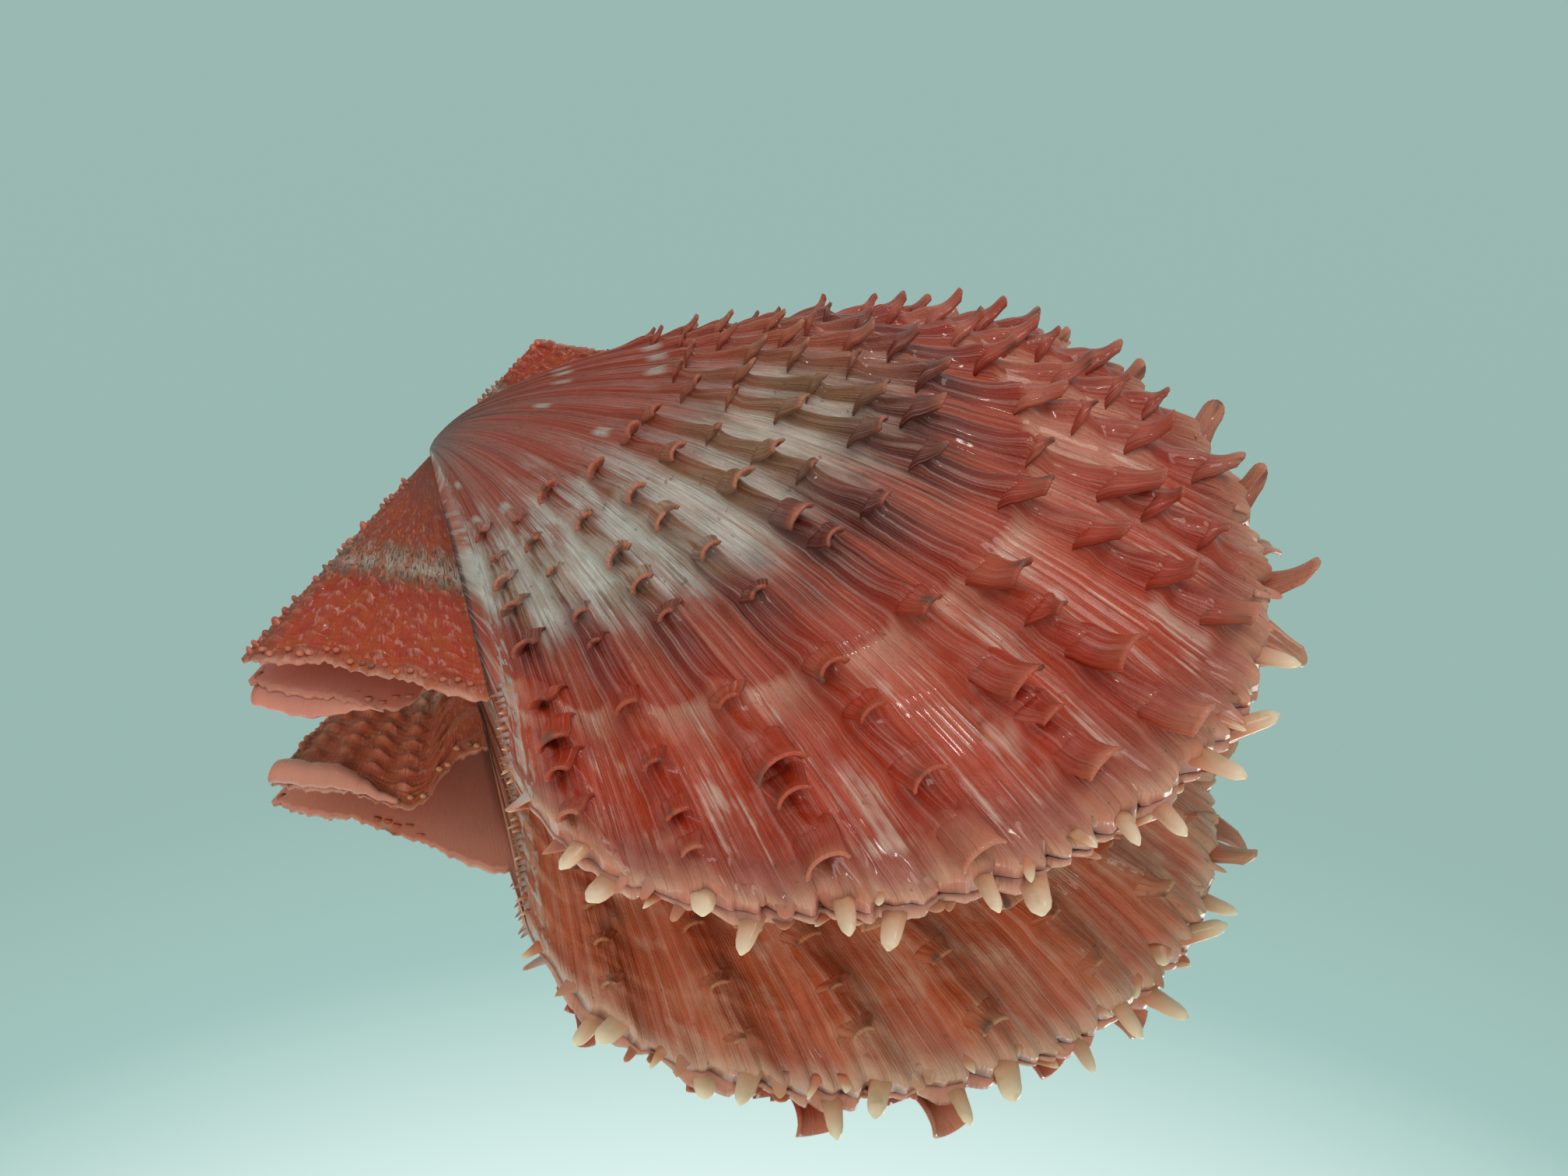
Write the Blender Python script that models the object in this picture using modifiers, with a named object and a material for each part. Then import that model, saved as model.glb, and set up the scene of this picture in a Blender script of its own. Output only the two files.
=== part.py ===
"""A spiny scallop shell, closed, lying on its right valve.

Three pieces: the left valve on top, the right valve below, and the thin dark
ligament that runs along the hinge between them. Both valves are polar surfaces
about the beak, given a wall by Solidify, with their scales and rim spines
joined on by a Boolean union.

Shell axes: +X from the hinge to the ventral rim, -Y to the large front ear,
+Z to the left valve. Lengths are metres, and shares are shares of DISC_HEIGHT.
Angles are measured in plan at the beak, in degrees, 0 along +X.
"""

import math
from collections import namedtuple

import bmesh
import bpy
import numpy as np
from mathutils import Euler, Matrix, Vector

# The disc, from the hinge line to the ventral rim.
DISC_HEIGHT = 0.055
FRONT_SHOULDER = -47.5
BACK_SHOULDER = 50.5
HINGE_ANGLE = 90.0

# Shares lost by the rim of each side against a circle through the beak:
# a slow loss along the side, and a quick one that rounds the shoulder.
FRONT_LOSS = (0.065, 0.16, 14.0)
BACK_LOSS = (0.020, 0.18, 12.0)

# The ears: plan angle and reach of the points of each free edge.
LEFT_FRONT_EAR = ((-90.0, 0.372), (-75.0, 0.352), (-60.0, 0.378), (-49.0, 0.425))
RIGHT_FRONT_EAR = ((-90.0, 0.372), (-75.0, 0.356), (-61.0, 0.378), (-58.0, 0.315), (-49.0, 0.285))
BACK_EAR = ((52.0, 0.330), (70.0, 0.262), (90.0, 0.248))

# How far each valve bulges, and how the bulge runs along a rib and towards the front and back.
Bulge = namedtuple("Bulge", "depth rise fall edge front back")
LEFT_BULGE = Bulge(depth=0.155, rise=0.80, fall=0.97, edge=0.030, front=1.15, back=0.62)
RIGHT_BULGE = Bulge(depth=0.090, rise=1.05, fall=0.78, edge=0.022, front=1.00, back=0.65)
EDGE_RISE = 0.35
EDGE_FALL = 0.60
RIB_BEND = 0.16

# Walls and gaps.
WALL = 0.0011
MARGIN_WALL = 0.00055
EAR_WALL = 0.0007
BEAK_WALL = 0.0006
WALL_FULL_FROM = 0.30
WALL_THINS_FROM = 0.70
EAR_WALL_FULL_FROM = 0.25
RIM_GAP = 0.0003
LIGAMENT_THICKNESS = 0.0005
LIGAMENT_CLEARANCE = 0.00025
LIGAMENT_WIDTH = 0.0016
LIGAMENT_FRONT = 0.30
LIGAMENT_BACK = 0.20

# The ears lie close together at the hinge and part towards their free edge.
LEFT_EAR_ARCH = 0.018
RIGHT_EAR_DROP = 0.040

# Main ribs: the plan angle of each, and the size of the scales on it.
LEFT_RIBS = (
    (-43.5, 0.75), (-36.3, 0.60), (-28.8, 1.00), (-21.0, 0.95), (-12.0, 1.00), (-5.6, 1.05), (3.7, 1.10),
    (10.3, 1.10), (18.3, 1.05), (25.0, 1.00), (32.0, 0.95), (39.0, 0.85), (45.5, 0.70),
)
RIGHT_RIBS = (
    (-42.0, 0.70), (-34.0, 0.85), (-26.0, 1.00), (-18.0, 1.00), (-9.0, 1.05), (-1.0, 1.05),
    (7.0, 1.00), (15.0, 1.00), (23.0, 1.00), (31.0, 0.90), (39.0, 0.80), (45.5, 0.65),
)
RIB_HALF_WIDTH = 2.3
RIB_RELIEF = 0.014
RIB_GROWTH = 0.8

# Growth stages at which the shell paused and grew a row of scales, as shares of the way to the rim.
LEFT_STAGES = (0.35, 0.42, 0.49, 0.56, 0.63, 0.75, 0.83, 0.89, 0.955)
RIGHT_STAGES = (0.34, 0.44, 0.54, 0.63, 0.72, 0.80, 0.88, 0.95)
STAGE_WANDER = 0.012
WANDER_BY_RIB = 2.4
WANDER_BY_ROW = 1.7
SCALE_LENGTH = 0.050
SCALE_WIDTH = 0.034
SCALE_DEPTH = 0.020
SCALE_TAPER = 0.38
SCALE_LEAN = 42.0
SCALE_SIDES = 4
SCALE_ROOT = 0.50
FIRST_SCALE_ON_SMALL_RIBS = 0.5
SMALL_RIB = 0.8

# A scale is as large as its share of the way, scaled and shifted by these, allows.
SCALE_AT_BEAK = 0.25
SCALE_GAIN = 0.9

# A four-sided spike is made this much wider, to hold as much as a round one.
FOUR_SIDED_GAIN = 1.3

# Spines at the end of each rib, which stand out from the rim.
RIM_SPINE_LENGTH = 0.062
RIM_SPINE_WIDTH = 0.030
RIM_SPINE_DEPTH = 0.017
RIM_SPINE_ROOT = 0.045
RIM_SPINE_HEIGHT = 0.00082
RIM_SPINE_VARIATION = 0.15
VARIATION_BY_RIB = 3.1

# Resting: the turns, in degrees, and the lift that lay the shell on its lowest scale tips.
REST_TILT_X = 2.05
REST_TILT_Y = 4.39
REST_HEIGHT = 0.00605

# How finely the surfaces are divided.
GROWTH_ROWS = (0.0, 0.05, 0.14, 0.27, 0.42, 0.58, 0.74, 0.88, 0.95, 1.0)
EAR_COLUMNS = 5
MERGE_DISTANCE = 1e-6
SHARP_ANGLE = 35.0

LEFT = 1.0
RIGHT = -1.0

# Plain colours and how rough each surface is.
CORAL = (0.62, 0.13, 0.075)
ORANGE = (0.55, 0.17, 0.07)
DARK_HORN = (0.075, 0.055, 0.045)
CORAL_ROUGHNESS = 0.35
ORANGE_ROUGHNESS = 0.40
HORN_ROUGHNESS = 0.60


def clear_scene():
    for obj in list(bpy.data.objects):
        bpy.data.objects.remove(obj, do_unlink=True)


def new_collection(name):
    collection = bpy.data.collections.new(name)
    bpy.context.scene.collection.children.link(collection)
    return collection


def new_material(name, colour, roughness):
    material = bpy.data.materials.new(name)
    material.use_nodes = True
    shader = material.node_tree.nodes["Principled BSDF"]
    shader.inputs["Base Color"].default_value = (*colour, 1.0)
    shader.inputs["Roughness"].default_value = roughness
    shader.inputs["Metallic"].default_value = 0.0
    return material


def new_object(name, bm, collection, material=None):
    mesh = bpy.data.meshes.new(name)
    bm.to_mesh(mesh)
    bm.free()
    obj = bpy.data.objects.new(name, mesh)
    collection.objects.link(obj)
    if material:
        mesh.materials.append(material)
    return obj


def ribs_of(side):
    return LEFT_RIBS if side == LEFT else RIGHT_RIBS


def on_disc(angle):
    return FRONT_SHOULDER <= angle <= BACK_SHOULDER


def disc_reach(angle):
    """Distance from the beak to the rim of the disc, as a share of its height."""
    shoulder, loss = (FRONT_SHOULDER, FRONT_LOSS) if angle < 0 else (BACK_SHOULDER, BACK_LOSS)
    turn = angle / shoulder
    slow, quick, power = loss
    return math.cos(math.radians(angle)) * (1.0 - slow * turn - quick * turn ** power)


def ear_reach(side, angle):
    """Distance from the beak to the free edge of an ear."""
    front = LEFT_FRONT_EAR if side == LEFT else RIGHT_FRONT_EAR
    points = front if angle < 0 else BACK_EAR
    return float(np.interp(angle, [a for a, _ in points], [r for _, r in points]))


def reach(side, angle):
    return disc_reach(angle) if on_disc(angle) else ear_reach(side, angle)


def hump(share, rise, fall):
    """A smooth hump from 0 at the beak to 0 at the rim, 1 at its top."""
    top = rise / (rise + fall)
    return share ** rise * (1.0 - share) ** fall / (top ** rise * (1.0 - top) ** fall)


def fullness(bulge, angle):
    """How much of the bulge is left at this angle: 1 in the middle, 0 at the shoulders."""
    if angle < 0:
        return max(0.0, 1.0 - (angle / FRONT_SHOULDER) ** 2) ** bulge.front
    return max(0.0, 1.0 - (angle / BACK_SHOULDER) ** 2) ** bulge.back


def rib_relief(side, angle, share):
    relief = 0.0
    for rib, _ in ribs_of(side):
        away = abs(angle - rib) / RIB_HALF_WIDTH
        if away < 1.0:
            relief = RIB_RELIEF * share ** RIB_GROWTH * min(1.0, 2.0 * (1.0 - away))
    return relief


def disc_height(side, angle, share):
    """Height of the disc's outer face over the plane where the valves meet, in metres."""
    bulge = LEFT_BULGE if side == LEFT else RIGHT_BULGE
    swell = bulge.depth * fullness(bulge, angle) * hump(share, bulge.rise, bulge.fall)
    edge = bulge.edge * 2.0 * share ** EDGE_RISE * (1.0 - share) ** EDGE_FALL
    foot = hinge_level() * (1.0 - share) + (RIM_GAP / 2 + MARGIN_WALL) * share
    return foot + DISC_HEIGHT * (swell + edge + rib_relief(side, angle, share))


def ear_height(side, angle, share):
    """Height of an ear's outer face: level at the hinge, apart towards the free edge."""
    shoulder = FRONT_SHOULDER if angle < 0 else BACK_SHOULDER
    turn = (abs(angle) - abs(shoulder)) / (HINGE_ANGLE - abs(shoulder))
    if side == LEFT:
        rise = LEFT_EAR_ARCH * math.sin(math.pi * turn) * share
    else:
        rise = RIGHT_EAR_DROP * (1.0 - turn ** 2) * share
    return hinge_level() + DISC_HEIGHT * rise


def hinge_level():
    """Height of the outer face of either valve along the hinge."""
    return LIGAMENT_THICKNESS / 2 + LIGAMENT_CLEARANCE + EAR_WALL


def surface_point(side, angle, share):
    """A point of the outer face, at a plan angle and a share of the way from beak to edge."""
    height = disc_height if on_disc(angle) else ear_height
    bend = 1.0 - RIB_BEND * (1.0 - share) if on_disc(angle) else 1.0
    heading = math.radians(angle * bend)
    along = DISC_HEIGHT * reach(side, angle) * share
    return Vector((along * math.cos(heading), along * math.sin(heading), side * height(side, angle, share)))


def wall_at(angle, share):
    """Wall thickness: thick in the middle of the disc, thin at the rim, the beak and the ears."""
    if not on_disc(angle):
        return BEAK_WALL + (EAR_WALL - BEAK_WALL) * min(1.0, share / EAR_WALL_FULL_FROM)
    if share > WALL_THINS_FROM:
        return WALL + (MARGIN_WALL - WALL) * (share - WALL_THINS_FROM) / (1.0 - WALL_THINS_FROM)
    return BEAK_WALL + (WALL - BEAK_WALL) * min(1.0, share / WALL_FULL_FROM)


def columns(side):
    """Plan angles of the surface's columns: the feet and shoulders of each rib, and the ears."""
    angles = [FRONT_SHOULDER, BACK_SHOULDER]
    for rib, _ in ribs_of(side):
        angles += [rib + RIB_HALF_WIDTH * step for step in (-1.0, -0.5, 0.5, 1.0)]
    front = LEFT_FRONT_EAR if side == LEFT else RIGHT_FRONT_EAR
    angles += [angle for angle, _ in front]
    angles += list(np.linspace(BACK_EAR[0][0], HINGE_ANGLE, EAR_COLUMNS))
    return sorted(angles)


def valve_surface(side):
    """The outer face: a grid bent into the polar surface, its first row drawn together at the beak."""
    angles = columns(side)
    bm = bmesh.new()
    bmesh.ops.create_grid(bm, x_segments=len(angles) - 1, y_segments=len(GROWTH_ROWS) - 1, size=0.5)
    walls = bm.verts.layers.float.new("thickness")
    for vert in bm.verts:
        column = round((vert.co.x + 0.5) * (len(angles) - 1))
        row = round((vert.co.y + 0.5) * (len(GROWTH_ROWS) - 1))
        vert.co = surface_point(side, angles[column], GROWTH_ROWS[row])
        vert[walls] = wall_at(angles[column], GROWTH_ROWS[row])
    bmesh.ops.remove_doubles(bm, verts=bm.verts, dist=MERGE_DISTANCE)
    middle = min(bm.faces, key=lambda face: abs(face.calc_center_median().y))
    middle.normal_update()
    if middle.normal.z * side < 0:
        bmesh.ops.reverse_faces(bm, faces=bm.faces)
    return bm


def frame_at(side, angle, share):
    """Outward, rimward and sideways directions of the outer face at a point."""
    step = 0.01
    start = surface_point(side, angle, share - step)
    rimward = (surface_point(side, angle, share) - start).normalized()
    sideways = (surface_point(side, angle + step, share) - surface_point(side, angle, share)).normalized()
    outward = rimward.cross(sideways).normalized() * side
    return outward, rimward, outward.cross(rimward)


def rim_direction(angle):
    """The outward direction of the rim in plan."""
    step = 0.5
    before = surface_point(LEFT, angle - step, 1.0)
    after = surface_point(LEFT, angle + step, 1.0)
    along = (after - before).normalized()
    return Vector((along.y, -along.x, 0.0)).normalized()


def resting_matrix():
    """Turns and lifts the shell from its own axes into its resting pose."""
    turn = Euler((math.radians(REST_TILT_X), -math.radians(REST_TILT_Y), 0.0)).to_matrix().to_4x4()
    return Matrix.Translation((0.0, 0.0, REST_HEIGHT)) @ turn


def wear_to_rest(verts, length_axis):
    """Wear a spike's tip back along its length until it lies flat on the resting plane."""
    pose = resting_matrix()
    fall = (pose.to_3x3() @ length_axis).z
    for vert in verts:
        depth = (pose @ vert.co).z
        if depth < 0:
            vert.co -= length_axis * depth / fall


def spike(bm, root, width_axis, depth_axis, length_axis, width, depth, length, taper):
    """A tapered spike from root along length_axis, its foot spanned by the other two axes."""
    if width_axis.cross(depth_axis).dot(length_axis) < 0:
        depth_axis = -depth_axis
    columns_of_matrix = [
        width_axis * width,
        depth_axis * depth,
        length_axis * length,
        root + length_axis * length / 2,
    ]
    matrix = Matrix([[*(column[i] for column in columns_of_matrix)] for i in range(3)] + [[0, 0, 0, 1]])
    made = bmesh.ops.create_cone(
        bm, cap_ends=True, segments=SCALE_SIDES, radius1=0.5, radius2=0.5 * taper, depth=1.0, matrix=matrix
    )
    wear_to_rest(made["verts"], length_axis)


def scale_growth(stage, rib_number, row):
    """The stage's share, moved a little from rib to rib as growth wandered."""
    return stage + STAGE_WANDER * math.sin(WANDER_BY_RIB * rib_number + WANDER_BY_ROW * row)


def add_scales(bm, side):
    """Hollow scales on the ribs, here solid spikes that lean towards the rim."""
    lean = math.radians(SCALE_LEAN)
    stages = LEFT_STAGES if side == LEFT else RIGHT_STAGES
    for number, (rib, size) in enumerate(ribs_of(side)):
        for row, stage in enumerate(stages):
            share = scale_growth(stage, number, row)
            if size < SMALL_RIB and share < FIRST_SCALE_ON_SMALL_RIBS:
                continue
            outward, rimward, sideways = frame_at(side, rib, share)
            grown = size * min(1.0, SCALE_AT_BEAK + SCALE_GAIN * share)
            foot_size = DISC_HEIGHT * grown * FOUR_SIDED_GAIN
            direction = outward * math.cos(lean) + rimward * math.sin(lean)
            foot = surface_point(side, rib, share) - outward * SCALE_ROOT * wall_at(rib, share)
            spike(
                bm, foot, sideways, rimward, direction,
                SCALE_WIDTH * foot_size, SCALE_DEPTH * foot_size,
                DISC_HEIGHT * SCALE_LENGTH * grown, SCALE_TAPER,
            )


def add_rim_spines(bm, side):
    """One spine at the end of each rib, lying outwards beyond the rim."""
    for number, (rib, size) in enumerate(ribs_of(side)):
        direction = rim_direction(rib)
        foot = surface_point(side, rib, 1.0) - direction * DISC_HEIGHT * RIM_SPINE_ROOT
        foot.z = side * RIM_SPINE_HEIGHT
        sideways = Vector((-direction.y, direction.x, 0.0))
        variation = 1.0 - RIM_SPINE_VARIATION + RIM_SPINE_VARIATION * math.sin(VARIATION_BY_RIB * number)
        length = RIM_SPINE_ROOT + RIM_SPINE_LENGTH * size * variation
        foot_size = DISC_HEIGHT * FOUR_SIDED_GAIN
        spike(
            bm, foot, sideways, Vector((0, 0, 1)), direction,
            RIM_SPINE_WIDTH * foot_size, RIM_SPINE_DEPTH * foot_size,
            DISC_HEIGHT * length, SCALE_TAPER,
        )


def add_wall(obj):
    """Solidify inwards, thinner where the surface says so."""
    thickness = [item.value for item in obj.data.attributes["thickness"].data]
    group = obj.vertex_groups.new(name="wall")
    for index, value in enumerate(thickness):
        group.add([index], value / WALL, "REPLACE")
    solidify = obj.modifiers.new("wall", "SOLIDIFY")
    solidify.thickness = WALL
    solidify.offset = -1.0
    solidify.vertex_group = group.name


def join(obj, other):
    union = obj.modifiers.new(other.name, "BOOLEAN")
    union.operation = "UNION"
    union.solver = "EXACT"
    union.object = other


def hidden_helper(obj):
    obj.hide_render = True
    obj.display_type = "WIRE"


def make_valve(name, side, material, parts, helpers):
    valve = new_object(name, valve_surface(side), parts, material)
    add_wall(valve)
    growths = bmesh.new()
    add_scales(growths, side)
    add_rim_spines(growths, side)
    spines = new_object(name + "_spines", growths, helpers)
    hidden_helper(spines)
    join(valve, spines)
    return valve, spines


def make_ligament(material, parts):
    """A thin strip between the hinge edges of the valves."""
    bm = bmesh.new()
    bmesh.ops.create_cube(bm, size=1.0)
    size = Vector((LIGAMENT_WIDTH, DISC_HEIGHT * (LIGAMENT_FRONT + LIGAMENT_BACK), LIGAMENT_THICKNESS))
    bmesh.ops.scale(bm, vec=size, verts=bm.verts)
    middle = Vector((LIGAMENT_WIDTH / 2, DISC_HEIGHT * (LIGAMENT_BACK - LIGAMENT_FRONT) / 2, 0.0))
    bmesh.ops.translate(bm, vec=middle, verts=bm.verts)
    return new_object("hinge_ligament", bm, parts, material)


def evaluated_corners(objects):
    """The lowest and highest corner of the finished objects, in the world."""
    graph = bpy.context.evaluated_depsgraph_get()
    points = []
    for obj in objects:
        mesh = obj.evaluated_get(graph).to_mesh()
        points += [obj.matrix_world @ vertex.co for vertex in mesh.vertices]
    low = [min(point[i] for point in points) for i in range(3)]
    high = [max(point[i] for point in points) for i in range(3)]
    return low, high


def main():
    clear_scene()
    parts = new_collection("scallop_shell")
    helpers = new_collection("cutters")
    coral = new_material("left_valve_shell", CORAL, CORAL_ROUGHNESS)
    orange = new_material("right_valve_shell", ORANGE, ORANGE_ROUGHNESS)
    horn = new_material("ligament_horn", DARK_HORN, HORN_ROUGHNESS)

    pose = bpy.data.objects.new("resting_pose", None)
    parts.objects.link(pose)
    pose.matrix_world = resting_matrix()

    left, left_spines = make_valve("left_valve", LEFT, coral, parts, helpers)
    right, right_spines = make_valve("right_valve", RIGHT, orange, parts, helpers)
    ligament = make_ligament(horn, parts)
    for obj in (left, left_spines, right, right_spines, ligament):
        obj.parent = pose
    for valve in (left, right):
        valve.data.shade_smooth()
        valve.data.set_sharp_from_angle(angle=math.radians(SHARP_ANGLE))

    bpy.context.view_layer.update()
    low, high = evaluated_corners((left, right, ligament))
    pose.location.x -= (low[0] + high[0]) / 2
    pose.location.y -= (low[1] + high[1]) / 2
    bpy.context.view_layer.update()


main()
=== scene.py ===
"""Looks of the closed spiny scallop shell: finely ribbed valves, hollow scales, rim spines and ligament."""

import math
from collections import namedtuple

import bmesh
import bpy
import numpy as np
from mathutils import Euler, Matrix, Quaternion, Vector


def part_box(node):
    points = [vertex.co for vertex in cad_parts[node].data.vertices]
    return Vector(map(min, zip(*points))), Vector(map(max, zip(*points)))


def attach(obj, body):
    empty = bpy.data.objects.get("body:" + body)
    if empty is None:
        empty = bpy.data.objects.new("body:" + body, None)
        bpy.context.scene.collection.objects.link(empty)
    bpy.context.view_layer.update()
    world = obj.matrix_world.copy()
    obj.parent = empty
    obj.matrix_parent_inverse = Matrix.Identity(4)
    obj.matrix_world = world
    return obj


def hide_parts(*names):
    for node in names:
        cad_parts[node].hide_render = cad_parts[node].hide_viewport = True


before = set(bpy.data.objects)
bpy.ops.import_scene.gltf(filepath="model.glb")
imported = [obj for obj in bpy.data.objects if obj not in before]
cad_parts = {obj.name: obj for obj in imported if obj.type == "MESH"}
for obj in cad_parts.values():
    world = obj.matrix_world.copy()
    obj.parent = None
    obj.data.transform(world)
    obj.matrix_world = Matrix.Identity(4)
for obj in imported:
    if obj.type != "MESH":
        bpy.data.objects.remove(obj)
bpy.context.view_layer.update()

# The form, close to the solids. Shares are of DISC_HEIGHT, angles are plan angles at the beak in degrees.
DISC_HEIGHT = 0.055
FRONT_SHOULDER = -47.5
BACK_SHOULDER = 50.5
HINGE_ANGLE = 90.0
FRONT_LOSS = (0.065, 0.16, 14.0)
BACK_LOSS = (0.02, 0.18, 12.0)
LEFT_FRONT_EAR = ((-90.0, 0.372), (-75.0, 0.352), (-60.0, 0.378), (-49.0, 0.425))
RIGHT_FRONT_EAR = (
    (-90.0, 0.372), (-75.0, 0.356), (-64.0, 0.372), (-61.0, 0.36), (-58.5, 0.325), (-55.0, 0.296),
    (-49.0, 0.285),
)
BACK_EAR = ((52.0, 0.33), (70.0, 0.262), (90.0, 0.248))
Bulge = namedtuple("Bulge", "depth rise fall edge front back")
LEFT_BULGE = Bulge(depth=0.155, rise=0.8, fall=0.97, edge=0.03, front=1.15, back=0.62)
RIGHT_BULGE = Bulge(depth=0.09, rise=1.05, fall=0.78, edge=0.022, front=1.0, back=0.65)
EDGE_RISE = 0.35
EDGE_FALL = 0.6
RIB_BEND = 0.16
LEFT_EAR_ARCH = 0.004
RIGHT_EAR_DROP = 0.013

# Each rib's angle and size, the shares of growth where the ribs bear scales, and the spines at the rim.
LEFT_RIBS = (
    (-43.5, 0.75), (-36.3, 0.6), (-28.8, 1.0), (-21.0, 0.95), (-12.0, 1.0), (-5.6, 1.05), (3.7, 1.1),
    (10.3, 1.1), (18.3, 1.05), (25.0, 1.0), (32.0, 0.95), (39.0, 0.85), (45.5, 0.7),
)
RIGHT_RIBS = (
    (-42.0, 0.7), (-34.0, 0.85), (-26.0, 1.0), (-18.0, 1.0), (-9.0, 1.05), (-1.0, 1.05),
    (7.0, 1.0), (15.0, 1.0), (23.0, 1.0), (31.0, 0.9), (39.0, 0.8), (45.5, 0.65),
)
LEFT_STAGES = (0.35, 0.42, 0.49, 0.56, 0.63, 0.75, 0.83, 0.89, 0.955)
RIGHT_STAGES = (0.34, 0.44, 0.54, 0.63, 0.72, 0.8, 0.88, 0.95)
STAGE_WANDER = 0.012
RIB_RELIEF = 0.024
RIM_SPINE_LENGTH = 0.062
RIM_SPINE_WIDTH = 0.03
RIM_SPINE_DEPTH = 0.02
RIM_SPINE_ROOT = 0.045
FINGERED_UNTIL = 7.0

# How many scales are bold, and how large bold and small ones are.
BOLD_CHANCE = 0.8
BOLD_SIZES = (0.68, 1.08)
SMALL_SIZES = (0.35, 0.6)

# Walls and levels, in metres. What stands above TALLEST_FREE is lowered by the share ABOVE_CUT.
WALL = 0.0011
MARGIN_WALL = 0.0003
HINGE_LEVEL = 0.0012
EAR_WALL = 0.0007
ROLL_WALL = 0.00035
RIM_GAP = 0.00006
RIM_SPINE_HEIGHT = 0.00082
TALLEST_FREE = 0.0205
ABOVE_CUT = 0.45

# Fine relief: widths and pitches across the ribs in degrees, all else in shares of DISC_HEIGHT or of growth.
RIB_FOOT = 3.0
RIGHT_RIB_SHARE = 0.6
THREAD_PITCH = 1.05
THREAD_RELIEF = 0.0017
RAMP_RELIEF = 0.016
TERRACES = ((0.742, 0.0042), (0.665, 0.0012), (0.825, 0.0016), (0.905, 0.0018))
MARGIN_START = 0.935
SEAM_WIDTH = 0.2
BEAD_ROWS = (-86.0, -79.5, -72.5, -65.5, -58.5, -52.5, 56.0, 63.0, 70.5, 78.5, 86.0)
BEAD_ROW_WIDTH = 1.8
BEAD_PITCH = 0.062
BEAD_RELIEF = 0.0095

# Small teeth: first place, last place and pitch, in degrees along the rim and ears or as shares of growth.
MARGIN_TEETH = (-46.6, 49.5, 1.9)
CLEAR_OF_RIBS = 1.3
LEFT_FRONT_TEETH = (0.81, 0.995, 0.0165)
RIGHT_FRONT_TEETH = (0.6, 0.995, 0.0165)
FRONT_TEETH_HEADING = -112
FRONT_EAR_POINTS = (-87.0, -50.0, 2.3)
BACK_EAR_POINTS = (53.0, 88.0, 3.0)
HINGE_POINTS = ((-89.5, 34), (89.5, 22))

# The rolled edge of the right valve's large ear, in degrees and as a share of DISC_HEIGHT.
ROLL_FROM = -89.0
ROLL_TO = -66.0
ROLL_TURN = 300
ROLL_RADIUS = 0.017

# How finely scales and fingers are meshed, and how a scale's arch starts and opens.
SCOOP_COLUMNS = 9
SCOOP_ROWS = 12
SCOOP_ROOT = -0.35
SCOOP_OPENING = 80.0
SCOOP_WALL = 0.00042
SCOOP_TIP_WALL = 0.0002
FINGER_SIDES = 12
FINGER_ROWS = 10
Hood = namedtuple(
    "Hood", "length root_width tip_width root_height tip_height tilt_low tilt_high curl point sway",
)

# Values that each point of a mesh carries for the materials.
VALUE_NAMES = ("growth", "turn", "crest", "thread", "ear", "inside", "tip")

# How the shell lies: turns in degrees about X and Y, and the size of the ligament that it is placed by.
REST_TILT_X = 2.05
REST_TILT_Y = 4.39
LIGAMENT_WIDTH = 0.0016
LIGAMENT_FRONT = 0.3
LIGAMENT_BACK = 0.2

# The camera: where it aims, as shares from the beak with the shell at rest, and how it stands.
CAMERA_AIM = (0.499, -0.054, 0.178)
CAMERA_DISTANCE = 2.4
CAMERA_AZIMUTH = 25.87
CAMERA_ELEVATION = 43.12
CAMERA_ROLL = 1.43
CAMERA_FOCAL_PIXELS = 2821.5
PHOTO_WIDTH = 2016
SENSOR_WIDTH = 36.0

# Light. The softboxes' mirror images, which light only the underside, are this much stronger.
MIRRORED_SHARE = 4.6
SKY_SIDE = (0.365, 0.495, 0.462)
SKY_LOW = (0.42, 0.58, 0.55)
SKY_TOP = (0.92, 1.0, 0.98)
SKY_STOPS = ((0.0, SKY_SIDE), (0.73, SKY_SIDE), (0.79, SKY_LOW), (0.865, SKY_TOP), (1.0, SKY_TOP))
# Name, place, size, power, colour, and whether it has a mirror image.
SOFTBOXES = (
    ("softbox_above", (0.2, 0.2, 0.44), 0.16, 0.5, (1.0, 0.9, 0.82), False),
    ("key", (0.12, -0.06, 0.5), 0.035, 0.16, (1.0, 0.98, 0.96), False),
    ("softbox_front", (0.22, -0.42, 0.2), 0.26, 0.25, (1.0, 0.88, 0.78), True),
    ("softbox_side", (-0.4, -0.2, 0.22), 0.22, 0.15, (1.0, 0.9, 0.82), True),
)
FLOOR_SIZE = 4.0
FLOOR_DROP = 0.00002
FLOOR_COLOUR = (0.86, 0.97, 0.95, 1.0)

LEFT = 1.0
RIGHT = -1.0
UP = np.array([0.0, 0.0, 1.0])


def smoothstep(low, high, value):
    t = np.clip((value - low) / (high - low), 0.0, 1.0)
    return t * t * (3.0 - 2.0 * t)


def unit(vector):
    return vector / np.linalg.norm(vector)


def steps(*pairs):
    """The sum of steps, each an amount along a direction."""
    return sum(amount[..., None] * direction for amount, direction in pairs)


def heading(degrees):
    """Directions in the plane of the rim."""
    turn = np.radians(degrees)
    return np.stack([np.cos(turn), np.sin(turn), np.zeros_like(turn)], axis=-1)


def ribs_of(side):
    return LEFT_RIBS if side == LEFT else RIGHT_RIBS


def on_disc(angle):
    return (angle >= FRONT_SHOULDER) & (angle <= BACK_SHOULDER)


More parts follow.
